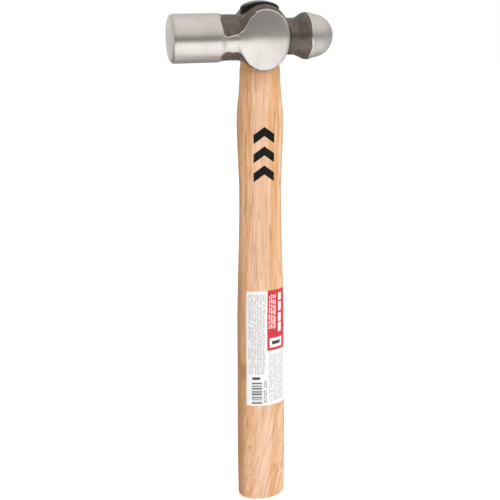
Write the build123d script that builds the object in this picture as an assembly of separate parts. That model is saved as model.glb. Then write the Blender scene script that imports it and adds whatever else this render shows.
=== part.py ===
from build123d import *
import math
import os

# Ball peen hammer, in millimetres. The origin is the middle of the butt end.
# +Z runs up the handle to the head, the striking face looks along -X and the ball along +X.

# ---- Driving dimensions ----

# Head, turned about an axis along X
head_height = 383.0            # head axis above the butt end
face_distance = 70.5           # striking face to the handle's axis
poll_radius = 18.25
face_bevel = 2.6               # 45 degree bevel round the striking face
poll_end_distance = 32.5       # inner end of the ground cylinder
poll_neck_radius = 17.4
poll_neck_taper = 4.0          # length of the step down to the neck
peen_neck_radius = 14.2
peen_flank_distance = 27.0     # where the neck starts to flare to the ball
shoulder_distance = 34.4       # widest place of the ball end
shoulder_radius = 18.5
shoulder_round = 2.0
ball_centre_distance = 41.0
ball_radius = 16.3

# Eye boss
boss_half_length = 20.3        # along X
boss_half_height = 24.8        # along Z
boss_half_thickness = 19.5     # along Y, to the ground cheeks
boss_edge_round = 2.6
poll_blend = 6.0               # forged fillet between boss and poll neck, on a step deep enough
peen_blend = 3.0               # forged fillet between boss and peen neck

# Eye, an hourglass oval with its long axis along X
eye_mouth_half_length = 15.9    # mouth at the handle's side
eye_mouth_half_width = 11.0
eye_top_half_length = 14.8
eye_top_half_width = 10.5
eye_waist_half_length = 14.2
eye_waist_half_width = 9.9
eye_waist_drop = 5.0           # waist below the head axis
eye_overrun = 1.0              # the oval's end sections lie this far outside the boss

# Handle, an oval with its long axis along X
butt_half_width = 19.6
butt_half_thickness = 13.7
butt_round = 4.0
grip_half_width = 20.1
grip_half_thickness = 14.1
grip_height = 42.0
grip_top_half_width = 19.5
grip_top_half_thickness = 13.6
grip_top_height = 145.0
waist_half_width = 16.9
waist_half_thickness = 11.9
waist_drop = 121.0             # below the head axis
swell_half_width = 18.4
swell_half_thickness = 12.9
swell_drop = 65.0              # below the head axis
section_spacing = 14.0         # between the ovals that the handle runs through
tenon_clearance = 0.05         # glue gap all round between tenon and eye

# Sealed end of the tenon
seal_height = 2.2              # resin crown above the top of the boss
seal_thickness = 1.8           # resin over the end of the wood
seal_overlap = 0.5             # resin past the edge of the eye, on the boss
seal_crown_radius_wanted = 25.5  # curve of the crown along X
seal_neck_clearance = 0.5      # the crown's edge stays this far above the poll neck
seal_edge_round = 1.5

# Wedges
wood_wedge_depth = 30.0
wood_wedge_top_half = 2.3      # half thickness, along Y
wood_wedge_tip_half = 0.6
kerf_overrun = 4.0             # saw cut below the wood wedge's tip
steel_wedge_depth = 20.0
steel_wedge_half_width = 7.5   # along Y
steel_wedge_top_half = 1.5     # half thickness, along X
steel_wedge_tip_half = 0.3
steel_wedge_offset = 7.0       # each side of the handle's axis
barb_count = 4
barb_step = 0.25
wedge_clearance = 0.02

# Label and mark
label_bottom = 86.5
label_height = 98.5
label_thickness = 0.3
label_start_angle = -148.0     # degrees round the handle from +X
label_end_angle = 75.0
mark_thickness = 0.1
mark_drop = 87.0               # middle of the mark below the head axis
mark_count = 3
mark_pitch = 15.0
mark_half_width = 8.2
mark_rise = 6.0
mark_stroke = 7.0

# ---- Sizes that follow ----

boss_top = head_height + boss_half_height
boss_bottom = head_height - boss_half_height
eye_top = boss_top + eye_overrun
eye_bottom = boss_bottom - eye_overrun
seal_top = boss_top + seal_height
seal_half_length = eye_top_half_length + seal_overlap
seal_half_width = eye_top_half_width + seal_overlap
seal_drop = seal_height + boss_half_height - poll_neck_radius - seal_neck_clearance
seal_crown_radius = max(seal_crown_radius_wanted, (seal_half_length**2 + seal_drop**2) / (2 * seal_drop))
crown_axis_height = seal_top - seal_crown_radius
wood_end_radius = seal_crown_radius - seal_thickness
wood_top = seal_top - seal_thickness
poll_step_blend = min(poll_blend, 0.85 * (boss_half_height - poll_neck_radius))
outside = 4 * boss_half_height  # reaches past any section of the hammer


def oval(height, half_length, half_width):
    """A level oval face with its long axis along X."""
    return Plane.XY.offset(height) * Ellipse(half_length, half_width)


def box_between(low, high):
    """A block as wide as any section, between two heights."""
    return Pos(0, 0, (low + high) / 2) * Box(outside, outside, high - low)


# ---- Head ----


def ball_touch_angle():
    """Angle round the ball at which the straight flank from the shoulder meets it."""
    back = ball_centre_distance - shoulder_distance
    lift = math.hypot(back, shoulder_radius)
    return math.atan2(shoulder_radius, -back) - math.acos(ball_radius / lift)


def ball_point(angle):
    """Point of the ball's outline at an angle from the tip."""
    return (ball_centre_distance + ball_radius * math.cos(angle), ball_radius * math.sin(angle))


def head_profile():
    """Half section of poll, necks and ball, above the head axis."""
    touch = ball_touch_angle()
    flank = Polyline(
        ball_point(0),
        (-face_distance, 0),
        (-face_distance, poll_radius - face_bevel),
        (-face_distance + face_bevel, poll_radius),
        (-poll_end_distance, poll_radius),
        (-poll_end_distance + poll_neck_taper, poll_neck_radius),
        (0, poll_neck_radius),
        (0, peen_neck_radius),
        (peen_flank_distance, peen_neck_radius),
        (shoulder_distance, shoulder_radius),
        ball_point(touch),
    )
    ball = ThreePointArc(ball_point(touch), ball_point(touch / 2), ball_point(0))
    return make_face(Plane.XZ * (flank + ball))


def edges_between(body, low, high):
    """The edges of a body that lie wholly between two X values."""
    found = []
    for edge in body.edges():
        box = edge.bounding_box()
        if low < box.min.X and box.max.X < high:
            found.append(edge)
    return found


def eye_space(gap):
    """The hourglass space of the eye, shrunk all round by a gap."""
    mouth = (eye_mouth_half_length - gap, eye_mouth_half_width - gap)
    waist = (eye_waist_half_length - gap, eye_waist_half_width - gap)
    top = (eye_top_half_length - gap, eye_top_half_width - gap)
    sections = [
        oval(eye_bottom, *mouth),
        oval(head_height - eye_waist_drop, *waist),
        oval(eye_top, *top),
    ]
    return loft(sections)


def make_head():
    """Forged head: turned poll, necks and ball, blended into the eye boss, with the eye cut through."""
    margin = 0.1
    boss_side = Rot(90, 0, 0) * Ellipse(boss_half_length, boss_half_height)
    boss = extrude(boss_side, boss_half_thickness, both=True)
    boss = fillet(boss.edges(), boss_edge_round)
    body = revolve(head_profile(), Axis.X) + boss
    body = fillet(edges_between(body, -boss_half_length - margin, -margin), poll_step_blend)
    body = fillet(edges_between(body, margin, boss_half_length + margin), peen_blend)
    corners = edges_between(body, peen_flank_distance - margin, peen_flank_distance + margin)
    corners += edges_between(body, shoulder_distance - margin, shoulder_distance + margin)
    body = fillet(corners, shoulder_round)
    return Pos(0, 0, head_height) * body - eye_space(0)


# ---- Handle ----


def handle_oval(height, grow):
    """The handle's oval at a height: it eases from each of its named ovals to the next."""
    named = [
        (0, butt_half_width, butt_half_thickness),
        (grip_height, grip_half_width, grip_half_thickness),
        (grip_top_height, grip_top_half_width, grip_top_half_thickness),
        (head_height - waist_drop, waist_half_width, waist_half_thickness),
        (head_height - swell_drop, swell_half_width, swell_half_thickness),
        (eye_bottom, eye_mouth_half_length - tenon_clearance, eye_mouth_half_width - tenon_clearance),
    ]
    for (low, low_width, low_depth), (high, high_width, high_depth) in zip(named, named[1:]):
        if low <= height <= high:
            ease = (1 - math.cos(math.pi * (height - low) / (high - low))) / 2
            width = low_width + (high_width - low_width) * ease
            depth = low_depth + (high_depth - low_depth) * ease
            return oval(height, width + grow, depth + grow)


def handle_body(grow):
    """The handle from the butt to the lower mouth of the eye, grown all round by a thickness."""
    spaces = round(eye_bottom / section_spacing)
    return loft([handle_oval(eye_bottom * count / spaces, grow) for count in range(spaces + 1)])


def level_cylinder(radius):
    """A cylinder lying along Y on the crown's axis."""
    return Pos(0, 0, crown_axis_height) * Rot(90, 0, 0) * Cylinder(radius, outside)


def tenon_space(gap):
    """The part of the eye that wood and wedges fill, up to their curved end."""
    wood_end = level_cylinder(wood_end_radius) + box_between(eye_bottom - eye_overrun, crown_axis_height)
    return eye_space(gap) & wood_end


def make_handle(wood_slot, steel_slots):
    """Handle with a rounded butt, a tenon in the eye, and the slots that hold the wedges."""
    body = handle_body(0)
    body = fillet(body.edges().group_by(Axis.Z)[0], butt_round)
    return body + tenon_space(tenon_clearance) - wood_slot - steel_slots


def make_seal(head):
    """Crown of resin over the end of the tenon and the rim of the eye."""
    rim = oval(crown_axis_height, seal_half_length, seal_half_width)
    crown = extrude(rim, seal_crown_radius) & level_cylinder(seal_crown_radius)
    crown = fillet(crown.edges().group_by(Axis.Z)[-1], seal_edge_round)
    return crown - head - tenon_space(0)


# ---- Wedges ----


def wood_wedge_space(gap):
    """The taper along X that the wood wedge fills, widened by a gap."""
    tip_height = wood_top - wood_wedge_depth
    tip_half = wood_wedge_tip_half + gap
    top_half = wood_wedge_top_half + gap
    outline = Polyline(
        (-tip_half, tip_height),
        (tip_half, tip_height),
        (top_half, wood_top),
        (-top_half, wood_top),
        close=True,
    )
    return extrude(make_face(Plane.YZ * outline), outside / 2, both=True)


def wood_wedge_slot():
    """The slot for the wood wedge, with the saw cut that runs on below its tip."""
    tip_height = wood_top - wood_wedge_depth
    kerf = box_between(tip_height - kerf_overrun, tip_height)
    kerf_half = wood_wedge_tip_half + wedge_clearance
    kerf &= Box(outside, 2 * kerf_half, 4 * head_height)
    return wood_wedge_space(wedge_clearance) + kerf


def steel_wedge_space(place, gap):
    """A barbed taper across the wood wedge, at a place along X, widened by a gap."""
    tip_height = wood_top - steel_wedge_depth
    taper = (steel_wedge_top_half - steel_wedge_tip_half) / barb_count
    pitch = steel_wedge_depth / barb_count
    side = []
    for barb in range(barb_count):
        half = steel_wedge_tip_half + barb * taper
        height = tip_height + barb * pitch
        side.append((half, height))
        side.append((half + taper + barb_step, height + pitch))
    mirrored = [(-half, height) for half, height in reversed(side)]
    outline = make_face(Polyline(*side, *mirrored, close=True))
    if gap > 0:
        outline = offset(outline, gap, kind=Kind.INTERSECTION)
    wedge = extrude(Plane.XZ * outline, steel_wedge_half_width + gap, both=True)
    return Pos(place, 0, 0) * wedge


def make_steel_wedge(place):
    """One barbed steel wedge, ground off with the end of the wood."""
    return steel_wedge_space(place, 0) & tenon_space(tenon_clearance)


# ---- Label and mark ----


def label_sector():
    """The part of the grip that the label covers: a wedge of angle between two heights."""
    steps = 4
    sweep = label_end_angle - label_start_angle
    corners = [(0, 0)]
    for step in range(steps + 1):
        angle = math.radians(label_start_angle + sweep * step / steps)
        corners.append((outside * math.cos(angle), outside * math.sin(angle)))
    plan = make_face(Polyline(*corners, close=True))
    return Pos(0, 0, label_bottom) * extrude(plan, label_height)


def make_label():
    """Thin sticker wrapped round the front and right side of the grip."""
    return (handle_body(label_thickness) & label_sector()) - handle_body(0)


def make_mark(handle_skin):
    """Printed chevrons up the front of the handle, pointing to the head."""
    lowest = head_height - mark_drop - (mark_count * mark_pitch) / 2
    chevrons = []
    for count in range(mark_count):
        foot = lowest + count * mark_pitch
        outline = Polyline(
            (-mark_half_width, foot),
            (0, foot + mark_rise),
            (mark_half_width, foot),
            (mark_half_width, foot + mark_stroke),
            (0, foot + mark_stroke + mark_rise),
            (-mark_half_width, foot + mark_stroke),
            close=True,
        )
        chevron = extrude(make_face(Plane.XZ * outline), outside / 2)
        chevrons += (chevron & handle_skin).solids()
    return Compound(children=chevrons)


# ---- Parts ----


def make_parts():
    """Every node of the hammer by name."""
    head = make_head()
    wood_slot = wood_wedge_slot()
    front_slot = steel_wedge_space(-steel_wedge_offset, wedge_clearance)
    rear_slot = steel_wedge_space(steel_wedge_offset, wedge_clearance)
    wood_wedge = wood_wedge_space(0) & tenon_space(tenon_clearance)
    return {
        "head": head,
        "handle": make_handle(wood_slot, front_slot + rear_slot),
        "eye_sealant": make_seal(head),
        "wood_wedge": wood_wedge - front_slot - rear_slot,
        "steel_wedge_front": make_steel_wedge(-steel_wedge_offset),
        "steel_wedge_rear": make_steel_wedge(steel_wedge_offset),
        "label": make_label(),
        "printed_mark": make_mark(handle_body(mark_thickness) - handle_body(0)),
    }


os.makedirs("parts", exist_ok=True)
for node, shape in make_parts().items():
    export_step(shape, f"parts/{node}.step")
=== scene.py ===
import math

import bmesh
import bpy
import numpy as np
from mathutils import Matrix, Vector, noise
from mathutils.bvhtree import BVHTree


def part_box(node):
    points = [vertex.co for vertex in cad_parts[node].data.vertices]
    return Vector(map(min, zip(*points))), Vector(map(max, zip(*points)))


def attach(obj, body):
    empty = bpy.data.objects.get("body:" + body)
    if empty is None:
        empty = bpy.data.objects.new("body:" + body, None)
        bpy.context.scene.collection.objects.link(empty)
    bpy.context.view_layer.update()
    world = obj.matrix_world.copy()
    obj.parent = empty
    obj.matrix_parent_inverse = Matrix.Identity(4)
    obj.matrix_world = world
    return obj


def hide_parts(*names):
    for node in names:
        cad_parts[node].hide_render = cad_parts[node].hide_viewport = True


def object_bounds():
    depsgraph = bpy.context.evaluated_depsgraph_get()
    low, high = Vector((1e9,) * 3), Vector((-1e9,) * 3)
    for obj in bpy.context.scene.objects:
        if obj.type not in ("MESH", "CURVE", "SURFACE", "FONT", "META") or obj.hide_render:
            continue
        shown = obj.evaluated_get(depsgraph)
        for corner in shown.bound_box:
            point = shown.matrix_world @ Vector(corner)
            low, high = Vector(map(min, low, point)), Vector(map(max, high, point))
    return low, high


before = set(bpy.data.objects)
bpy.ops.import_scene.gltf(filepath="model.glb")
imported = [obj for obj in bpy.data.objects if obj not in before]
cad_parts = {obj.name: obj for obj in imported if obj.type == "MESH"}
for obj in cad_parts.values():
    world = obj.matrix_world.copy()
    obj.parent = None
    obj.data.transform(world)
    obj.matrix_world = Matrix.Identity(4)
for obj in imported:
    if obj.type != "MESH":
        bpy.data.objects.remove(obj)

CAD_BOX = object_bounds()
MM = 0.001
TINY = 1e-6


# ---------------------------------------------------------------- frame sizes, in millimetres


def node_box(node):
    """Lowest and highest corner of a CAD node in millimetres."""
    low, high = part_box(node)
    return np.array(low) / MM, np.array(high) / MM


HEAD_LOW, HEAD_HIGH = node_box("head")
SEAL_LOW, SEAL_HIGH = node_box("eye_sealant")
LABEL_LOW, LABEL_HIGH = node_box("label")
AXIS_Z = (HEAD_LOW[2] + HEAD_HIGH[2]) / 2
CHEEK_Y = HEAD_HIGH[1]
BOSS_HALF_HEIGHT = HEAD_HIGH[2] - AXIS_Z
BOSS_HALF_LENGTH = 20.3
FACE_X = HEAD_LOW[0]
TIP_X = HEAD_HIGH[0]


# ---------------------------------------------------------------- mesh helpers


def new_piece(name, points, faces, material):
    """A mesh piece from points in millimetres, riding on the hammer's one body."""
    mesh = bpy.data.meshes.new(name)
    mesh.from_pydata([tuple(point) for point in np.asarray(points) * MM], [], faces)
    mesh.validate()
    mesh.update()
    for polygon in mesh.polygons:
        polygon.use_smooth = True
    piece = bpy.data.objects.new(name, mesh)
    bpy.context.scene.collection.objects.link(piece)
    mesh.materials.append(material)
    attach(piece, "root")
    return piece


def ring_faces(rings, around):
    """Quads between closed rings of points; the caller closes the ends."""
    faces = []
    for ring in range(rings - 1):
        for side in range(around):
            after = (side + 1) % around
            faces.append((
                ring * around + side,
                ring * around + after,
                (ring + 1) * around + after,
                (ring + 1) * around + side,
            ))
    return faces


def grid_faces(rows, columns):
    """Quads of an open grid of points."""
    faces = []
    for row in range(rows - 1):
        for column in range(columns - 1):
            corner = row * columns + column
            faces.append((corner, corner + 1, corner + columns + 1, corner + columns))
    return faces


def smooth_rows(values, spacing, sigma):
    """Gaussian blur down the first axis, with the ends held."""
    reach = int(3 * sigma / spacing) + 1
    offsets = np.arange(-reach, reach + 1) * spacing
    kernel = np.exp(-0.5 * (offsets / sigma) ** 2)
    kernel /= kernel.sum()
    padded = np.concatenate([values[:1]] * reach + [values] + [values[-1:]] * reach)
    return sum(kernel[i] * padded[i:i + len(values)] for i in range(len(kernel)))


def smooth_max(first, second, reach):
    """The larger of two values, blended where they are closer than a reach."""
    share = np.clip(0.5 + 0.5 * (first - second) / reach, 0, 1)
    return second + (first - second) * share + reach * share * (1 - share)


def smooth_step(value):
    """0 to 1 with soft ends."""
    held = np.clip(value, 0, 1)
    return held * held * (3 - 2 * held)


def noise_at(points, scale, seed):
    """Smooth noise from -1 to 1 at points in millimetres; scale is the size of a lump."""
    shift = Vector((seed * 17.3, seed * 5.1, seed * 9.7))
    return np.array([noise.noise(Vector(point) / scale + shift) for point in points])


def set_attribute(piece, name, values):
    """A number per vertex for the material to read."""
    attribute = piece.data.attributes.new(name, "FLOAT", "POINT")
    attribute.data.foreach_set("value", np.asarray(values, np.float32))


# ---------------------------------------------------------------- node helpers


class Nodes:
    """Builds one material's node tree."""

    def __init__(self, name):
        self.material = bpy.data.materials.new(name)
        self.material.use_nodes = True
        self.tree = self.material.node_tree
        self.tree.nodes.clear()
        self.output = self.tree.nodes.new("ShaderNodeOutputMaterial")
        self.shader = self.tree.nodes.new("ShaderNodeBsdfPrincipled")
        self.tree.links.new(self.shader.outputs[0], self.output.inputs["Surface"])
        place = self.tree.nodes.new("ShaderNodeTexCoord")
        self.place = place.outputs["Object"]
        self.uv = place.outputs["UV"]

    def put(self, socket, value):
        """Sets a socket to a constant or links it."""
        if isinstance(value, bpy.types.NodeSocket):
            self.tree.links.new(value, socket)
        else:
            socket.default_value = value

    def set(self, **values):
        """Sets the principled shader's sockets by name, with _ for a space."""
        for name, value in values.items():
            self.put(self.shader.inputs[name.replace("_", " ")], value)

    def math(self, operation, first, second=0.0):
        """One math operation on one or two numbers or sockets."""
        node = self.tree.nodes.new("ShaderNodeMath")
        node.operation = operation
        self.put(node.inputs[0], first)
        self.put(node.inputs[1], second)
        return node.outputs[0]

    def stretch(self, scale, source=None, shift=(0, 0, 0)):
        """The object's coordinates times a scale per axis."""
        node = self.tree.nodes.new("ShaderNodeMapping")
        self.put(node.inputs["Vector"], source or self.place)
        node.inputs["Scale"].default_value = scale
        node.inputs["Location"].default_value = shift
        return node.outputs[0]

    def noise(self, vector, detail, roughness=0.5):
        """Noise from 0 to 1, one lump per unit of the vector."""
        node = self.tree.nodes.new("ShaderNodeTexNoise")
        self.put(node.inputs["Vector"], vector)
        node.inputs["Scale"].default_value = 1.0
        node.inputs["Detail"].default_value = detail
        node.inputs["Roughness"].default_value = roughness
        return node.outputs["Fac"]

    def split(self, vector):
        """The three numbers of a vector."""
        node = self.tree.nodes.new("ShaderNodeSeparateXYZ")
        self.put(node.inputs[0], vector)
        return node.outputs

    def join(self, x, y, z):
        """A vector from three numbers."""
        node = self.tree.nodes.new("ShaderNodeCombineXYZ")
        for socket, value in zip(node.inputs, (x, y, z)):
            self.put(socket, value)
        return node.outputs[0]

    def ramp(self, factor, low, high, start=0.0, end=1.0):
        """A number that goes softly from start to end as the factor goes from low to high."""
        node = self.tree.nodes.new("ShaderNodeMapRange")
        node.interpolation_type = "SMOOTHSTEP"
        for socket, value in zip(node.inputs, (factor, low, high, start, end)):
            self.put(socket, value)
        return node.outputs[0]

    def scaled(self, value, factor):
        """A number times another."""
        return self.math("MULTIPLY", value, factor)

    def opposite(self, share):
        """1 less a share."""
        return self.math("SUBTRACT", 1.0, share)

    def mix(self, factor, first, second):
        """The first colour where the factor is 0 and the second where it is 1."""
        node = self.tree.nodes.new("ShaderNodeMix")
        node.data_type = "RGBA"
        self.put(node.inputs["Factor"], factor)
        for socket, value in ((node.inputs[6], first), (node.inputs[7], second)):
            self.put(socket, value if isinstance(value, bpy.types.NodeSocket) else (*value, 1.0))
        return node.outputs[2]

    def attribute(self, name):
        """The number that set_attribute gave each vertex."""
        node = self.tree.nodes.new("ShaderNodeAttribute")
        node.attribute_name = name
        return node.outputs["Fac"]

    def bump(self, height, distance, strength=1.0, normal=None):
        """A bump from a height of 0 to 1 that stands for a distance in metres."""
        node = self.tree.nodes.new("ShaderNodeBump")
        node.inputs["Strength"].default_value = strength
        node.inputs["Distance"].default_value = distance
        self.put(node.inputs["Height"], height)
        if normal is not None:
            self.put(node.inputs["Normal"], normal)
        return node.outputs[0]


# ---------------------------------------------------------------- materials


def head_steel():
    """Ground bright steel where the vertex attribute says so, brown forge scale elsewhere."""
    n = Nodes("head_steel")
    fine = n.noise(n.stretch((9000, 260, 260)), detail=2.0)
    band = n.noise(n.stretch((1300, 40, 40)), detail=3.0)
    cloud = n.noise(n.stretch((60, 60, 60)), detail=4.0)
    lumps = n.noise(n.stretch((300, 300, 300)), detail=4.0, roughness=0.5)
    pits = n.noise(n.stretch((1500, 1500, 1500)), detail=2.0)
    edge = n.ramp(n.attribute("ground"), 0.25, 0.75)
    forged = n.opposite(edge)

    ground_dull = (0.66, 0.62, 0.585)
    ground_bright = (0.78, 0.75, 0.72)
    ground_stain = (0.58, 0.53, 0.49)
    bright = n.mix(band, ground_dull, ground_bright)
    bright = n.mix(n.scaled(n.ramp(cloud, 0.45, 0.75), 0.4), bright, ground_stain)
    scale_dark = (0.135, 0.110, 0.093)
    scale_light = (0.20, 0.167, 0.143)
    scale_stain = (0.105, 0.082, 0.07)
    scale = n.mix(n.ramp(lumps, 0.3, 0.7), scale_dark, scale_light)
    scale = n.mix(n.scaled(n.ramp(cloud, 0.4, 0.7), 0.5), scale, scale_stain)
    n.set(Base_Color=n.mix(edge, scale, bright))

    uneven = n.math("ADD", n.scaled(fine, 0.5), n.scaled(cloud, 0.5))
    rough_bright = n.ramp(uneven, 0.3, 0.7, 0.21, 0.31)
    rough_scale = n.ramp(pits, 0.3, 0.7, 0.30, 0.46)
    rough = n.math("ADD", n.scaled(rough_bright, edge), n.scaled(rough_scale, forged))
    n.set(Roughness=rough, Metallic=n.ramp(edge, 0.0, 1.0, 0.8, 1.0))

    n.set(Anisotropic=0.5, Anisotropic_Rotation=0.25)
    tangent = n.tree.nodes.new("ShaderNodeTangent")
    tangent.direction_type = "RADIAL"
    tangent.axis = "X"
    n.set(Tangent=tangent.outputs[0])
    marks = n.bump(n.scaled(fine, edge), 0.00002, 0.5)
    scale_height = n.scaled(n.math("ADD", lumps, n.scaled(pits, 0.5)), forged)
    n.set(Normal=n.bump(scale_height, 0.00035, 0.6, marks))
    return n.material


def hardwood(name, light, dark, pore, shade):
    """Fine grained wood with streaks, growth layers and pores along Z, in four colours."""
    slant_top = 0.15
    pith_depth = 0.055
    layer_rate = 620.0
    n = Nodes(name)
    x, y, z = n.split(n.place)
    wander = n.noise(n.stretch((14, 14, 4)), detail=2.0)
    below = n.math("MAXIMUM", n.math("SUBTRACT", slant_top, z), 0.0)
    slant = n.scaled(n.scaled(below, below), 0.9)
    across = n.math("ADD", n.math("ADD", x, n.scaled(wander, 0.012)), slant)
    grain = n.join(across, n.math("ADD", y, n.scaled(wander, 0.006)), z)
    depth = n.math("ADD", y, pith_depth)
    from_pith = n.math("SQRT", n.math("ADD", n.scaled(across, across), n.scaled(depth, depth)))
    layer = n.math("ABSOLUTE", n.math("SINE", n.scaled(from_pith, layer_rate)))

    streak = n.noise(n.stretch((330, 330, 6), grain), detail=5.0, roughness=0.65)
    fibre = n.noise(n.stretch((1500, 1500, 26), grain), detail=2.0)
    patch = n.noise(n.stretch((70, 70, 9), grain), detail=3.0)
    dashes = n.noise(n.stretch((1050, 1050, 42), grain, (3, 1, 2)), detail=1.5)
    line = n.noise(n.stretch((700, 700, 12), grain, (5, 2, 7)), detail=4.0, roughness=0.7)
    pores = n.ramp(dashes, 0.58, 0.66)

    colour = n.mix(n.ramp(streak, 0.38, 0.60), dark, light)
    colour = n.mix(n.scaled(n.ramp(layer, 0.7, 1.0), 0.32), colour, dark)
    colour = n.mix(n.scaled(n.ramp(patch, 0.48, 0.72), 0.5), colour, shade)
    colour = n.mix(n.scaled(n.ramp(fibre, 0.46, 0.64), 0.5), colour, dark)
    colour = n.mix(n.scaled(n.ramp(line, 0.54, 0.64), 0.42), colour, pore)
    colour = n.mix(n.scaled(pores, 0.62), colour, pore)
    return n, colour, fibre, pores


def finish_wood(n, colour, fibre, pores, lacquer):
    """Surface of a wood: open pores under a share of lacquer."""
    n.set(Base_Color=colour)
    n.set(Roughness=n.ramp(fibre, 0.3, 0.7, 0.42, 0.56))
    n.set(Coat_Weight=lacquer, Coat_Roughness=0.28)
    height = n.math("SUBTRACT", n.scaled(fibre, 0.35), pores)
    n.set(Normal=n.bump(height, 0.00012, 0.7))
    return n.material


def add_knot(n, colour):
    """A small ringed knot low on the left side of the handle."""
    knot_brown = (0.26, 0.11, 0.04)
    distance = n.tree.nodes.new("ShaderNodeVectorMath")
    distance.operation = "LENGTH"
    centred = n.stretch((170, 170, 100), shift=(2.88, 1.25, -11.5))
    n.tree.links.new(centred, distance.inputs[0])
    rings = n.math("SINE", n.scaled(distance.outputs["Value"], 14.0))
    inside = n.opposite(n.ramp(distance.outputs["Value"], 0.3, 1.1))
    return n.mix(n.scaled(inside, n.ramp(rings, -1.0, 1.0, 0.6, 0.95)), colour, knot_brown)


def handle_wood():
    """Lacquered wood: a knot, orange sides, a pale core, painted shade on the left flank, stain and painted
    shadow under the head.
    """
    light = (0.90, 0.58, 0.385)
    dark = (0.66, 0.35, 0.155)
    pore = (0.30, 0.135, 0.05)
    shade = (0.84, 0.57, 0.43)
    orange = (0.64, 0.325, 0.115)
    pale = (0.83, 0.60, 0.49)
    stain_and_shadow_brown = (0.50, 0.25, 0.09)
    painted_flank_shade = (0.40, 0.19, 0.06)
    stain_and_shadow_low = (AXIS_Z - 45) * MM
    stain_and_shadow_high = (AXIS_Z - 22) * MM

    n, colour, fibre, pores = hardwood("hardwood", light, dark, pore, shade)
    colour = add_knot(n, colour)
    x, _, z = n.split(n.place)
    swing = n.scaled(n.noise(n.stretch((30, 30, 11)), detail=3.0), 0.014)
    band = n.math("ADD", x, swing)
    colour = n.mix(n.ramp(band, 0.004, -0.007, 0.0, 0.3), colour, orange)
    right_band = n.scaled(n.ramp(band, 0.0105, 0.0145), n.ramp(band, 0.0195, 0.0165))
    colour = n.mix(n.scaled(right_band, 0.5), colour, orange)
    core = n.scaled(n.ramp(band, -0.004, 0.001), n.ramp(band, 0.0145, 0.0095))
    colour = n.mix(n.scaled(core, 0.34), colour, pale)
    # Browner towards the head: partly a real stain, partly painted shadow where the handle enters the head.
    colour = n.mix(n.ramp(z, stain_and_shadow_low, stain_and_shadow_high, 0.0, 0.55), colour, stain_and_shadow_brown)
    # Painted shade: the left flank is darkened towards its edge, as if that side turned away from the
    # light.
    colour = n.mix(n.ramp(x, -0.0198, -0.0142, 0.85, 0.0), colour, painted_flank_shade)
    return finish_wood(n, colour, fibre, pores, lacquer=0.2)


def wedge_wood():
    """Darker, unlacquered wood of the wedge."""
    light = (0.52, 0.32, 0.17)
    dark = (0.34, 0.19, 0.09)
    pore = (0.16, 0.08, 0.04)
    shade = (0.45, 0.27, 0.14)
    return finish_wood(*hardwood("wedge_wood", light, dark, pore, shade), lacquer=0.0)


def black_resin():
    """Poured black resin: glossy, faintly uneven and dusty."""
    black = (0.006, 0.006, 0.007)
    dusty = (0.035, 0.033, 0.032)
    n = Nodes("black_resin")
    swell = n.noise(n.stretch((160, 160, 160)), detail=2.0)
    dust = n.noise(n.stretch((2600, 2600, 2600)), detail=2.0)
    n.set(Base_Color=n.mix(n.ramp(dust, 0.62, 0.75), black, dusty))
    n.set(Roughness=n.ramp(dust, 0.4, 0.7, 0.16, 0.3), Specular_IOR_Level=0.22)
    n.set(Normal=n.bump(swell, 0.0006, 0.6))
    return n.material


def plain_steel():
    """Plain grey steel of the wedges, with fine lines across them."""
    dark = (0.24, 0.24, 0.25)
    light = (0.42, 0.42, 0.43)
    n = Nodes("wedge_steel")
    skin = n.noise(n.stretch((300, 300, 300)), detail=4.0)
    lines = n.noise(n.stretch((200, 200, 4000)), detail=2.0)
    n.set(Base_Color=n.mix(skin, dark, light), Metallic=1.0)
    n.set(Roughness=n.ramp(lines, 0.3, 0.7, 0.3, 0.5))
    n.set(Normal=n.bump(lines, 0.00005, 0.5))
    return n.material


# Millimetres of the label per unit of its UV map, and its print as boxes: left, right, low and high edge
# in millimetres from the lower left corner.
LABEL_UNIT = 100.0
TEXT_BLOCKS = ((1.6, 15.9, 27.5, 96.0), (18.4, 34.0, 3.0, 44.5), (38.0, 64.0, 3.0, 95.0))
DARK_BLOCK = (5.0, 11.5, 23.0, 25.2)
STRIPES = (4.6, 13.1, 1.5, 20.5)
BESIDE_STRIPES = (14.2, 16.9, 2.0, 22.0)
RED_PANEL = (17.3, 35.5, 47.5, 99.0)
TITLE = (27.2, 31.0, 62.0, 95.5)
FINE_TEXT = (18.6, 25.4, 66.0, 95.0)
BADGE = (19.5, 31.5, 50.0, 58.0)
BADGE_BLOCK = (21.5, 29.5, 52.5, 55.5)
PRINT_EDGE = 0.1


def inside_box(n, u, v, box):
    """1 inside a box of the print, 0 outside."""
    shares = []
    for place, low, high in ((u, box[0], box[1]), (v, box[2], box[3])):
        after = n.ramp(place, low - PRINT_EDGE, low + PRINT_EDGE)
        before = n.ramp(place, high + PRINT_EDGE, high - PRINT_EDGE)
        shares.append(n.scaled(after, before))
    return n.scaled(*shares)


def greeked(n, u, v, pitch, ink, word, seed):
    """Rows of unreadable dashes that run up the label: row pitch, share inked and word length."""
    row = n.math("FLOOR", n.math("DIVIDE", u, pitch))
    inked = n.ramp(n.math("FRACT", n.math("DIVIDE", u, pitch)), ink + 0.05, ink - 0.05)
    breaks = n.noise(n.join(n.scaled(row, 7.3), n.math("DIVIDE", v, word), seed), detail=2.0)
    return n.scaled(inked, n.ramp(breaks, 0.40, 0.46))


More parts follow.
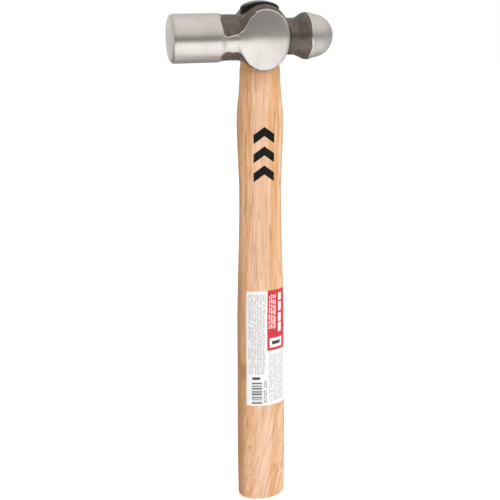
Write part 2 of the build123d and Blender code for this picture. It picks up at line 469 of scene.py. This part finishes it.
def label_paper():
    """Glossy white paper with a red panel, rows of greeked text and a block of stripes."""
    white = (0.86, 0.84, 0.84)
    grey = (0.44, 0.44, 0.46)
    dark_grey = (0.20, 0.20, 0.21)
    stripe_ground = (0.66, 0.67, 0.70)
    red = (0.60, 0.022, 0.035)
    n = Nodes("label_paper")
    across, along, _ = n.split(n.uv)
    u = n.scaled(across, LABEL_UNIT)
    v = n.scaled(along, LABEL_UNIT)
    paper = n.noise(n.stretch((900, 900, 900)), detail=2.0)
    small = greeked(n, u, v, 1.25, 0.5, 2.2, 1.0)
    title = greeked(n, n.math("SUBTRACT", u, 27.4), v, 6.0, 0.55, 3.0, 4.0)
    fine = greeked(n, u, v, 1.7, 0.5, 2.2, 9.0)
    bars = n.ramp(n.noise(n.join(0.0, n.scaled(v, 0.62), 0.0), detail=1.0), 0.50, 0.55)

    colour = n.mix(paper, (0.80, 0.80, 0.81), (0.88, 0.88, 0.88))
    for block in TEXT_BLOCKS:
        colour = n.mix(n.scaled(small, inside_box(n, u, v, block)), colour, grey)
    colour = n.mix(inside_box(n, u, v, DARK_BLOCK), colour, (0.03, 0.03, 0.03))
    code = inside_box(n, u, v, STRIPES)
    colour = n.mix(code, colour, stripe_ground)
    colour = n.mix(n.scaled(code, bars), colour, (0.04, 0.045, 0.05))
    colour = n.mix(n.scaled(small, inside_box(n, u, v, BESIDE_STRIPES)), colour, dark_grey)
    colour = n.mix(inside_box(n, u, v, RED_PANEL), colour, red)
    colour = n.mix(n.scaled(title, inside_box(n, u, v, TITLE)), colour, white)
    colour = n.mix(n.scaled(fine, inside_box(n, u, v, FINE_TEXT)), colour, white)
    colour = n.mix(inside_box(n, u, v, BADGE), colour, white)
    colour = n.mix(inside_box(n, u, v, BADGE_BLOCK), colour, (0.05, 0.05, 0.05))

    n.set(Base_Color=colour)
    n.set(Roughness=n.ramp(paper, 0.3, 0.7, 0.28, 0.38))
    n.set(Normal=n.bump(paper, 0.00003, 0.4))
    return n.material


def printed_ink():
    """Matt black ink on wood: the pores break it up."""
    black = (0.005, 0.005, 0.005)
    wood = (0.22, 0.13, 0.08)
    n = Nodes("black_ink")
    dashes = n.noise(n.stretch((1500, 1500, 75), shift=(3, 1, 2)), detail=1.0)
    fibre = n.noise(n.stretch((1700, 1700, 28)), detail=2.0)
    worn = n.ramp(n.math("ADD", n.scaled(dashes, 0.6), n.scaled(fibre, 0.4)), 0.58, 0.68)
    n.set(Base_Color=n.mix(n.scaled(worn, 0.3), black, wood))
    n.set(Roughness=n.ramp(fibre, 0.3, 0.7, 0.45, 0.6), Specular_IOR_Level=0.2)
    n.set(Normal=n.bump(n.math("SUBTRACT", n.scaled(fibre, 0.35), worn), 0.00008, 0.5))
    return n.material


WOOD = handle_wood()
LABEL_PAPER = label_paper()
WEDGE_WOOD = wedge_wood()
STEEL = head_steel()
RESIN = black_resin()
WEDGE_STEEL = plain_steel()
INK = printed_ink()


# ---------------------------------------------------------------- head

POLL_RADIUS = 18.25
FACE_BEVEL = 3.0
FACE_CROWN = 1.1
FACE_SHARES = (0.02, 0.15, 0.3, 0.45, 0.6, 0.72, 0.84, 0.93, 0.985)
POLL_END_X = -32.5
POLL_NECK_RADIUS = 17.4
POLL_NECK_STEP = 2.5
PEEN_NECK_RADIUS = 14.2
FLANK_X = 27.0
SHOULDER_X = 34.4
SHOULDER_RADIUS = 18.4
BALL_X = 41.0
BALL_RADIUS = TIP_X - BALL_X
EYE_HALF_LENGTH = 15.4
EYE_HALF_WIDTH = 10.7
EYE_MARGIN = 5.0

# The cheek's dome: where it is highest above the axis, how far up and down it is worked out, how many
# degrees it leans back low down and high up, and its radius along the head.
DOME_CREST = 5.0
DOME_REACH = 26.0
DOME_LOWER_SLOPE = 11.5
DOME_UPPER_SLOPE = 4.0
DOME_RADIUS = 135.0

# The boss: the round on its edge low down and high up, how far it stays inside the CAD's cheek, the
# passes in which its outline settles, and how widely it blends into the necks at places along X.
EDGE_HEIGHTS = (-12, 4)
EDGE_ROUNDS = (2.0, 3.6)
CHEEK_GAP = 0.02
BOSS_PASSES = 16
BLEND_PLACES = (-26, -20, -14, -8, 1, 3)
BLEND_REACHES = (6, 5, 2.5, 1.5, 1.5, 3)
ROW_BLUR = 0.9

# The ground areas: the oval pad on each cheek, and the strip that flares from the poll into it. Neither
# reaches inside CHEEK_INNER_Y, and the forge scale between them lies SCALE_DEPTH lower.
PAD_CENTRE = (0.4, -1.4)
PAD_HALF = (19.7, 22.9)
STRIP_CENTRE = -3.5
FLARE_PLACES = (-27.0, -21.0, -17.0, -12.0, -6.5)
FLARE_HALVES = (5.6, 6.6, 10.0, 16.6, 22.0)
CHEEK_INNER_Y = 11.5
UNGROUND = -9.0
SCALE_DEPTH = 0.42

# The mesh: millimetres between rings over the boss, and points in each ring.
SPACING = 0.25
AROUND = 320


def dome_drop(x, z):
    """How far the ground cheek falls away from its highest place, near the top of the pad."""
    heights = np.linspace(-DOME_REACH, DOME_REACH, 105)
    above = heights - DOME_CREST
    lower = DOME_LOWER_SLOPE * smooth_step(-above / 11)
    upper = DOME_UPPER_SLOPE * np.clip(above / 18, 0, 1)
    slope = np.tan(np.radians(lower + upper)) * np.sign(above)
    fall = np.cumsum(slope) * (heights[1] - heights[0])
    fall -= fall.min()
    return np.interp(z, heights, fall) + x ** 2 / (2 * DOME_RADIUS)


def boss_radius(x, angle):
    """Distance from the head axis to the domed, round edged boss, at places along X and angles round it."""
    side = np.maximum(np.abs(np.cos(angle)), TINY)
    up = np.maximum(np.abs(np.sin(angle)), TINY)
    reach = np.sqrt(np.clip(1 - (x / BOSS_HALF_LENGTH) ** 2, 0, 1))
    to_rim = BOSS_HALF_HEIGHT * reach / up
    radius = np.minimum(CHEEK_Y / side, to_rim)
    for _ in range(BOSS_PASSES):
        height = np.minimum(radius, to_rim) * np.sin(angle)
        out = np.sqrt((x / BOSS_HALF_LENGTH) ** 2 + (height / BOSS_HALF_HEIGHT) ** 2)
        edge_round = np.interp(height, EDGE_HEIGHTS, EDGE_ROUNDS)
        inset = np.clip((1 - out) * BOSS_HALF_LENGTH, 0, edge_round)
        drop = edge_round - np.sqrt(edge_round ** 2 - (edge_round - inset) ** 2)
        beside_strip = np.clip((np.abs(height) - 5) / 6, 0, 1)
        drop = np.where(x < 0, drop * beside_strip, drop)
        cheek = CHEEK_Y - dome_drop(x, height) - drop
        radius = 0.5 * (radius + np.minimum(cheek / side, to_rim))
    return np.where(reach > 0, radius, 0)


def ball_flank():
    """Where the straight flank from the shoulder meets the ball: its angle round the ball."""
    back = BALL_X - SHOULDER_X
    return math.atan2(SHOULDER_RADIUS, -back) - math.acos(BALL_RADIUS / math.hypot(back, SHOULDER_RADIUS))


FLANK_END_X = BALL_X + BALL_RADIUS * math.cos(ball_flank())
FLANK_END_RADIUS = BALL_RADIUS * math.sin(ball_flank())


def flank_radius(x):
    """Radius of the straight flank between the shoulder and the ball."""
    return np.interp(x, [SHOULDER_X, FLANK_END_X], [SHOULDER_RADIUS, FLANK_END_RADIUS])


def turned_radius(x):
    """Radius of the poll neck, the peen neck and its flare to the shoulder, and the flank beyond."""
    places = [POLL_END_X, POLL_END_X + POLL_NECK_STEP, -1, 1, FLANK_X, SHOULDER_X]
    radii = [POLL_RADIUS, POLL_NECK_RADIUS, POLL_NECK_RADIUS,
             PEEN_NECK_RADIUS, PEEN_NECK_RADIUS, SHOULDER_RADIUS]
    return np.where(x > SHOULDER_X, flank_radius(x), np.interp(x, places, radii))


def face_rows():
    """Rows of (x, radius) over the crowned striking face, its bevel and the straight poll."""
    rows = []
    flat = POLL_RADIUS - FACE_BEVEL
    for share in FACE_SHARES:
        rows.append((FACE_X + FACE_CROWN * share ** 2, flat * share))
    for turn in np.radians(np.linspace(12, 86, 9)):
        out = flat + FACE_BEVEL * math.sin(turn) ** 1.2
        rows.append((FACE_X + FACE_CROWN + FACE_BEVEL * (1 - math.cos(turn)), out))
    for x in np.linspace(FACE_X + FACE_CROWN + FACE_BEVEL + 0.3, POLL_END_X - 4, 36):
        rows.append((x, POLL_RADIUS))
    return rows


def middle_rows(angle):
    """Rows of (x, radius at each angle) over the necks and the boss, blended together."""
    middle = np.arange(POLL_END_X - 3.75, SHOULDER_X + 4, SPACING)
    places, angles = np.meshgrid(middle, angle, indexing="ij")
    turned = smooth_rows(turned_radius(places), SPACING, ROW_BLUR)
    blend = np.interp(places, BLEND_PLACES, BLEND_REACHES)
    radius = smooth_max(boss_radius(places, angles), turned, blend)
    radius = smooth_rows(radius, SPACING, ROW_BLUR)
    radius = np.minimum(radius, (CHEEK_Y - CHEEK_GAP) / np.maximum(np.abs(np.cos(angles)), TINY))
    return list(zip(middle, radius))


def ball_rows(first):
    """Rows of (x, radius) over the rest of the flank and the ball."""
    rows = [(x, flank_radius(x)) for x in np.arange(first, FLANK_END_X, 0.5)]
    for turn in np.linspace(ball_flank(), 0.02, 40):
        rows.append((BALL_X + BALL_RADIUS * math.cos(turn), BALL_RADIUS * math.sin(turn)))
    return rows


def head_points():
    """Rings of points from the middle of the striking face to the tip of the ball."""
    angle = np.arange(AROUND) * 2 * math.pi / AROUND
    middle = middle_rows(angle)
    rows = face_rows() + middle + ball_rows(middle[-1][0] + SPACING)
    points = []
    for x, radius in rows:
        out = radius * np.ones(AROUND)
        across = -out * np.cos(angle)
        heights = AXIS_Z + out * np.sin(angle)
        points += [(x, y, z) for y, z in zip(across, heights)]
    return np.array(points)


def ground_depth(points):
    """Millimetres inside the ground areas of the forging; negative on the scale that is left."""
    x = points[:, 0]
    y = np.abs(points[:, 1])
    z = points[:, 2] - AXIS_Z
    rag = 0.35 * noise_at(points, 2.0, 3) + 0.9 * noise_at(points, 6.5, 4)
    out = np.sqrt(((x - PAD_CENTRE[0]) / PAD_HALF[0]) ** 2 + ((z - PAD_CENTRE[1]) / PAD_HALF[1]) ** 2)
    pad = (1 - out) * PAD_HALF[0] + 0.3 * rag
    half = np.interp(x, FLARE_PLACES, FLARE_HALVES)
    middle = np.interp(x, (-24, -6), (STRIP_CENTRE, PAD_CENTRE[1]))
    flare = (half - np.abs(z - middle)) * 0.85
    sides = np.where(x < FLARE_PLACES[-1], flare, pad)
    sides = np.where(y > CHEEK_INNER_Y, sides, UNGROUND)
    poll = POLL_END_X + 0.3 - x
    left = smooth_max(sides, poll, 5.0) + 1.2 * rag
    ball = x - (SHOULDER_X + 1.8) + 1.1 * rag
    return np.where(x > 30, ball, np.where(x < -8, left, sides))


def sink_scale(points, depth):
    """Lowers the lumpy forge scale below the ground areas, towards the head axis."""
    scale = np.clip(0.5 - depth / 0.9, 0, 1)
    lumps = 0.30 * noise_at(points, 6.5, 1) + 0.07 * noise_at(points, 1.9, 2)
    sink = scale * (SCALE_DEPTH + lumps) + 0.012 * (1 + noise_at(points, 9.0, 6))
    radial = points * (0, 1, 1) - (0, 0, AXIS_Z)
    length = np.maximum(np.linalg.norm(radial, axis=1), TINY)
    return points - radial * (sink / length)[:, None]


def make_head():
    """The forging: rings along the head's axis, sunk where it isn't ground, with the eye cut through."""
    points = head_points()
    depth = ground_depth(points)
    ground = np.clip(0.5 + depth / 0.5, 0, 1)
    points = sink_scale(points, depth)
    last = len(points) - AROUND
    face_centre = len(points)
    tip = face_centre + 1
    points = np.vstack([points, [(FACE_X, 0, AXIS_Z), (TIP_X, 0, AXIS_Z)]])
    faces = ring_faces(face_centre // AROUND, AROUND)
    faces += [(face_centre, (i + 1) % AROUND, i) for i in range(AROUND)]
    faces += [(tip, last + i, last + (i + 1) % AROUND) for i in range(AROUND)]
    head = new_piece("hammer_head", points, faces, STEEL)
    set_attribute(head, "ground", np.append(ground, [1, 1]))
    cut_eye(head)
    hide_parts("head")


def oval_prism(name, low, high, half_length, half_width, around=96):
    """A closed upright oval block, used as a cutter."""
    points = []
    for height in (low, high):
        for step in range(around):
            turn = 2 * math.pi * step / around
            points.append((half_length * math.cos(turn), half_width * math.sin(turn), height))
    faces = ring_faces(2, around)
    faces += [tuple(range(around - 1, -1, -1)), tuple(range(around, 2 * around))]
    mesh = bpy.data.meshes.new(name)
    mesh.from_pydata([tuple(point) for point in np.array(points) * MM], [], faces)
    block = bpy.data.objects.new(name, mesh)
    bpy.context.scene.collection.objects.link(block)
    return block


def cut_eye(head):
    """Cuts the through eye that the tenon fills."""
    low = HEAD_LOW[2] - EYE_MARGIN
    high = HEAD_HIGH[2] + EYE_MARGIN
    cutter = oval_prism("eye_cutter", low, high, EYE_HALF_LENGTH, EYE_HALF_WIDTH)
    modifier = head.modifiers.new("eye", "BOOLEAN")
    modifier.object = cutter
    modifier.operation = "DIFFERENCE"
    modifier.solver = "EXACT"
    apply_modifiers(head)
    bpy.data.objects.remove(cutter)


def apply_modifiers(piece):
    """Bakes a piece's modifiers into its mesh."""
    bpy.context.view_layer.update()
    graph = bpy.context.evaluated_depsgraph_get()
    mesh = bpy.data.meshes.new_from_object(piece.evaluated_get(graph), depsgraph=graph)
    piece.modifiers.clear()
    piece.data = mesh


make_head()


# ---------------------------------------------------------------- handle surface


class HandleSurface:
    """The oval handle as the CAD has it, read by rays so that the label lies on it."""

    STEP = 4.0

    def __init__(self):
        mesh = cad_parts["handle"].data
        points = [vertex.co[:] for vertex in mesh.vertices]
        tree = BVHTree.FromPolygons(points, [tuple(p.vertices) for p in mesh.polygons])
        low, _ = node_box("handle")
        self.heights = np.arange(low[2] + 5.0, HEAD_LOW[2] - 0.5, self.STEP)
        self.half_width = self.measure(tree, Vector((1, 0, 0)))
        self.half_depth = self.measure(tree, Vector((0, 1, 0)))

    def measure(self, tree, out):
        """Distance from the handle's axis to its surface in one direction, at every height."""
        found = []
        for height in self.heights:
            axis = Vector((0, 0, height * MM))
            hit = tree.ray_cast(out * 0.1 + axis, -out)
            found.append((hit[0] - axis).length / MM)
        return smooth_rows(np.array(found), self.STEP, 3.0)

    def size(self, height):
        """Half width and half depth at a height."""
        width = np.interp(height, self.heights, self.half_width)
        depth = np.interp(height, self.heights, self.half_depth)
        return float(width), float(depth)

    def point(self, turn, height, lift=0.0):
        """A point of the surface: turn is the oval's own angle from +X, lift its distance out."""
        width, depth = self.size(height)
        normal = Vector((math.cos(turn) / width, math.sin(turn) / depth, 0)).normalized()
        return (width * math.cos(turn) + lift * normal.x, depth * math.sin(turn) + lift * normal.y, height)


SURFACE = HandleSurface()


# ---------------------------------------------------------------- resin cap

CAP_RADIUS = 25.5
CAP_SHARES = (0.03, 0.2, 0.4, 0.55, 0.68, 0.78, 0.86, 0.92, 0.96, 0.985, 0.997, 1.0)
CAP_SKIRT_SHARES = (0.25, 0.5, 0.75, 1.0)
CAP_SIZE = 0.985
CAP_SLUMP = 0.02
CAP_CROWN_ACROSS = 1.1
CAP_EDGE_START = 0.86
CAP_EDGE_DROP = 1.5
CAP_SKIRT = 1.3


def boss_top(x):
    """Height of the top of the boss at a place along X."""
    return AXIS_Z + BOSS_HALF_HEIGHT * math.sqrt(1 - (x / BOSS_HALF_LENGTH) ** 2)


def fix_normals(piece):
    """Points every face outwards."""
    builder = bmesh.new()
    builder.from_mesh(piece.data)
    bmesh.ops.recalc_face_normals(builder, faces=builder.faces)
    builder.to_mesh(piece.data)
    builder.free()


def make_cap():
    """Poured resin over the end of the eye: crowned, soft edged, slumped a little unevenly at its rim."""
    around = 120
    half_length = (SEAL_HIGH[0] - SEAL_LOW[0]) / 2
    half_width = (SEAL_HIGH[1] - SEAL_LOW[1]) / 2
    top = SEAL_HIGH[2]
    rings = [(share, 0.0) for share in CAP_SHARES]
    rings += [(1.0, down) for down in CAP_SKIRT_SHARES]
    points = []
    for share, down in rings:
        for step in range(around):
            turn = 2 * math.pi * step / around
            slump = CAP_SLUMP * noise.noise(Vector((2.2 * math.cos(turn), 2.2 * math.sin(turn), 5.0)))
            x = share * half_length * math.cos(turn) * (CAP_SIZE + slump)
            y = share * half_width * math.sin(turn) * (CAP_SIZE + slump)
            crown = top - x ** 2 / (2 * CAP_RADIUS) - CAP_CROWN_ACROSS * (y / half_width) ** 2
            inset = max(0.0, (share - CAP_EDGE_START) / (1 - CAP_EDGE_START))
            crown -= CAP_EDGE_DROP * (1 - math.sqrt(max(0.0, 1 - inset ** 2)))
            base = boss_top(x) - CAP_SKIRT
            points.append((x, y, crown + (base - crown) * down))
    faces = ring_faces(len(rings), around)
    last = (len(rings) - 1) * around
    top_centre = len(points)
    points += [(0, 0, top), (0, 0, boss_top(0) - CAP_SKIRT)]
    faces += [(top_centre, (i + 1) % around, i) for i in range(around)]
    faces += [(top_centre + 1, last + i, last + (i + 1) % around) for i in range(around)]
    cap = new_piece("resin_cap", points, faces, RESIN)
    fix_normals(cap)
    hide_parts("eye_sealant")


make_cap()


# ---------------------------------------------------------------- label

LABEL_START = math.radians(-148)
LABEL_END = math.radians(75)
LABEL_LIFT = 0.12
LABEL_THICKNESS = 0.2


def oval_turn(direction, width, depth):
    """The oval's own angle for a direction round the handle."""
    return math.atan2(math.sin(direction) / depth, math.cos(direction) / width)


def label_rim(columns, rows):
    """Corners of the label's grid in order round its edge."""
    rim = [row * columns for row in range(rows - 1, -1, -1)]
    rim += list(range(1, columns))
    rim += [row * columns + columns - 1 for row in range(1, rows)]
    rim += list(range((rows - 1) * columns + columns - 2, (rows - 1) * columns, -1))
    return rim


def make_label():
    """A thin wrap of paper with a print laid out in millimetres."""
    columns = 97
    rows = 80
    low = LABEL_LOW[2]
    high = LABEL_HIGH[2]
    points = []
    places = []
    for row in range(rows):
        height = low + (high - low) * (row / (rows - 1))
        width, depth = SURFACE.size(height)
        run = 0.0
        before = None
        for column in range(columns):
            direction = LABEL_START + (LABEL_END - LABEL_START) * column / (columns - 1)
            turn = oval_turn(direction, width, depth)
            here = Vector(SURFACE.point(turn, height, LABEL_LIFT))
            run += (here - before).length if before else 0.0
            before = here
            points.append(tuple(here))
            places.append((run / LABEL_UNIT, (height - low) / LABEL_UNIT))
    count = len(points)
    for x, y, z in points[:count]:
        inward = Vector((x, y, 0)).normalized() * LABEL_THICKNESS
        points.append((x - inward.x, y - inward.y, z))
    front = grid_faces(rows, columns)
    back = [tuple(reversed([corner + count for corner in face])) for face in front]
    rim = label_rim(columns, rows)
    edge = [(rim[i], rim[i - 1], rim[i - 1] + count, rim[i] + count) for i in range(len(rim))]
    label = new_piece("wrap_label", points, front + back + edge, LABEL_PAPER)
    layer = label.data.uv_layers.new(name="print")
    for loop in label.data.loops:
        layer.data[loop.index].uv = places[loop.vertex_index % count]
    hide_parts("label")


make_label()


# ---------------------------------------------------------------- CAD nodes that stay

for node, material in (
    ("handle", WOOD),
    ("wood_wedge", WEDGE_WOOD),
    ("steel_wedge_front", WEDGE_STEEL),
    ("steel_wedge_rear", WEDGE_STEEL),
    ("printed_mark", INK),
):
    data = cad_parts[node].data
    data.materials.clear()
    data.materials.append(material)


# ---------------------------------------------------------------- stage

FLOOR_RADIUS = 4.0
FLOOR_GAP = 0.0002

# Brightness of the room by height, from -1 straight down to 1 straight up.
FRONT_ROOM = (
    (-1.0, 0.75), (-0.95, 1.05), (-0.83, 1.18), (-0.62, 1.30), (-0.42, 1.30), (-0.28, 1.04), (-0.16, 0.42),
    (0.0, 0.26), (0.12, 0.30), (0.27, 0.58), (0.5, 0.78), (0.72, 0.86), (1.0, 0.9),
)
BACK_ROOM = (
    (-1.0, 0.75), (-0.92, 0.42), (-0.6, 0.33), (-0.34, 0.40), (-0.10, 0.74), (0.1, 0.76), (0.4, 0.64),
    (0.85, 0.8), (1.0, 0.9),
)
RIGHT_ROOM = (
    (-1.0, 0.75), (-0.7, 0.72), (-0.45, 0.62), (-0.2, 0.50), (0.0, 0.42), (0.2, 0.48), (0.5, 0.72),
    (1.0, 0.9),
)


def make_floor():
    """Plain pale floor: a wide round sheet under the butt."""
    mesh = bpy.data.meshes.new("floor")
    builder = bmesh.new()
    bmesh.ops.create_circle(builder, cap_ends=True, segments=96, radius=FLOOR_RADIUS)
    builder.to_mesh(mesh)
    builder.free()
    floor = bpy.data.objects.new("floor", mesh)
    floor.location = (0, 0, CAD_BOX[0][2] - FLOOR_GAP)
    bpy.context.scene.collection.objects.link(floor)
    floor.visible_glossy = False
    n = Nodes("floor_paper")
    n.set(Base_Color=(0.93, 0.93, 0.93, 1.0), Roughness=0.9)
    n.set(Emission_Color=(1.0, 1.0, 1.0, 1.0), Emission_Strength=0.42)
    mesh.materials.append(n.material)


def room_ramp(tree, height, stops):
    """Brightness of one side of the room by height, as a colour ramp."""
    ramp = tree.nodes.new("ShaderNodeValToRGB")
    tree.links.new(height, ramp.inputs["Fac"])
    elements = ramp.color_ramp.elements
    while len(elements) < len(stops):
        elements.new(0.5)
    for element, (level, value) in zip(elements, stops):
        warm = 0.5 + 0.5 * level
        element.position = warm
        element.color = (value, value * (1 - 0.035 * warm), value * (1 - 0.075 * warm), 1.0)
    return ramp.outputs["Color"]


def map_range(tree, source, low, high, start=0.0, end=1.0):
    """A number that goes from start to end as the source goes from low to high."""
    node = tree.nodes.new("ShaderNodeMapRange")
    names = ("From Min", "From Max", "To Min", "To Max")
    for name, value in zip(names, (low, high, start, end)):
        node.inputs[name].default_value = value
    tree.links.new(source, node.inputs["Value"])
    return node.outputs[0]


def mix_sides(tree, factor, first, second):
    """The colour of one side of the room where the factor is 0 and of another where it is 1."""
    node = tree.nodes.new("ShaderNodeMix")
    node.data_type = "RGBA"
    tree.links.new(factor, node.inputs["Factor"])
    tree.links.new(first, node.inputs[6])
    tree.links.new(second, node.inputs[7])
    return node.outputs[2]


def make_world():
    """Soft room with a dark horizon in front, white where the camera looks past the object."""
    world = bpy.data.worlds.new("studio")
    bpy.context.scene.world = world
    world.use_nodes = True
    tree = world.node_tree
    tree.nodes.clear()
    output = tree.nodes.new("ShaderNodeOutputWorld")
    coord = tree.nodes.new("ShaderNodeTexCoord")
    split = tree.nodes.new("ShaderNodeSeparateXYZ")
    tree.links.new(coord.outputs["Generated"], split.inputs[0])
    height = map_range(tree, split.outputs["Z"], -1, 1)
    backward = map_range(tree, split.outputs["Y"], -0.35, 0.35)
    rightward = map_range(tree, split.outputs["X"], 0.32, 0.75)
    strength = map_range(tree, split.outputs["X"], -1, 1, 0.88, 1.12)

    front = room_ramp(tree, height, FRONT_ROOM)
    behind = room_ramp(tree, height, BACK_ROOM)
    right = room_ramp(tree, height, RIGHT_ROOM)
    all_sides = mix_sides(tree, rightward, mix_sides(tree, backward, front, behind), right)
    room = tree.nodes.new("ShaderNodeBackground")
    tree.links.new(all_sides, room.inputs["Color"])
    tree.links.new(strength, room.inputs["Strength"])
    white = tree.nodes.new("ShaderNodeBackground")
    white.inputs["Color"].default_value = (1, 1, 1, 1)
    path = tree.nodes.new("ShaderNodeLightPath")
    mix = tree.nodes.new("ShaderNodeMixShader")
    tree.links.new(path.outputs["Is Camera Ray"], mix.inputs[0])
    tree.links.new(room.outputs[0], mix.inputs[1])
    tree.links.new(white.outputs[0], mix.inputs[2])
    tree.links.new(mix.outputs[0], output.inputs["Surface"])


def make_light(name, place, target, width, power, colour):
    """A square soft light that the glossy metal doesn't mirror."""
    light = bpy.data.lights.new(name, "AREA")
    light.shape = "SQUARE"
    light.size = width
    light.energy = power
    light.color = colour
    lamp = bpy.data.objects.new(name, light)
    lamp.location = place
    lamp.rotation_euler = (Vector(target) - Vector(place)).to_track_quat("-Z", "Y").to_euler()
    lamp.visible_glossy = False
    bpy.context.scene.collection.objects.link(lamp)


def make_camera():
    """The photograph's camera: how it looks at its target, from how far, and its lens."""
    azimuth = math.radians(-14.5)
    elevation = math.radians(15.7)
    roll = math.radians(-0.36)
    distance = 0.812
    target = Vector((-0.0086, 0, 0.2162))
    back = Vector((
        math.sin(azimuth) * math.cos(elevation),
        -math.cos(azimuth) * math.cos(elevation),
        math.sin(elevation),
    ))
    right = Vector((math.cos(azimuth), math.sin(azimuth), 0))
    up = back.cross(right)
    right_rolled = right * math.cos(roll) + up * math.sin(roll)
    up_rolled = up * math.cos(roll) - right * math.sin(roll)
    data = bpy.data.cameras.new("camera")
    data.lens = 73.2
    data.sensor_width = 36.0
    camera = bpy.data.objects.new("camera", data)
    turn = Matrix((right_rolled, up_rolled, back)).transposed().to_4x4()
    camera.matrix_world = Matrix.Translation(target + back * distance) @ turn
    bpy.context.scene.collection.objects.link(camera)
    bpy.context.scene.camera = camera


make_floor()
make_world()
make_light("key_right", (0.75, -0.8, 0.85), (0, 0, 0.22), 0.7, 5, (1.0, 0.985, 0.96))
make_light("top", (0.0, -0.3, 1.4), (0, 0, 0.2), 1.0, 4, (1.0, 1.0, 1.0))
make_camera()
bpy.context.scene.view_settings.view_transform = "Standard"
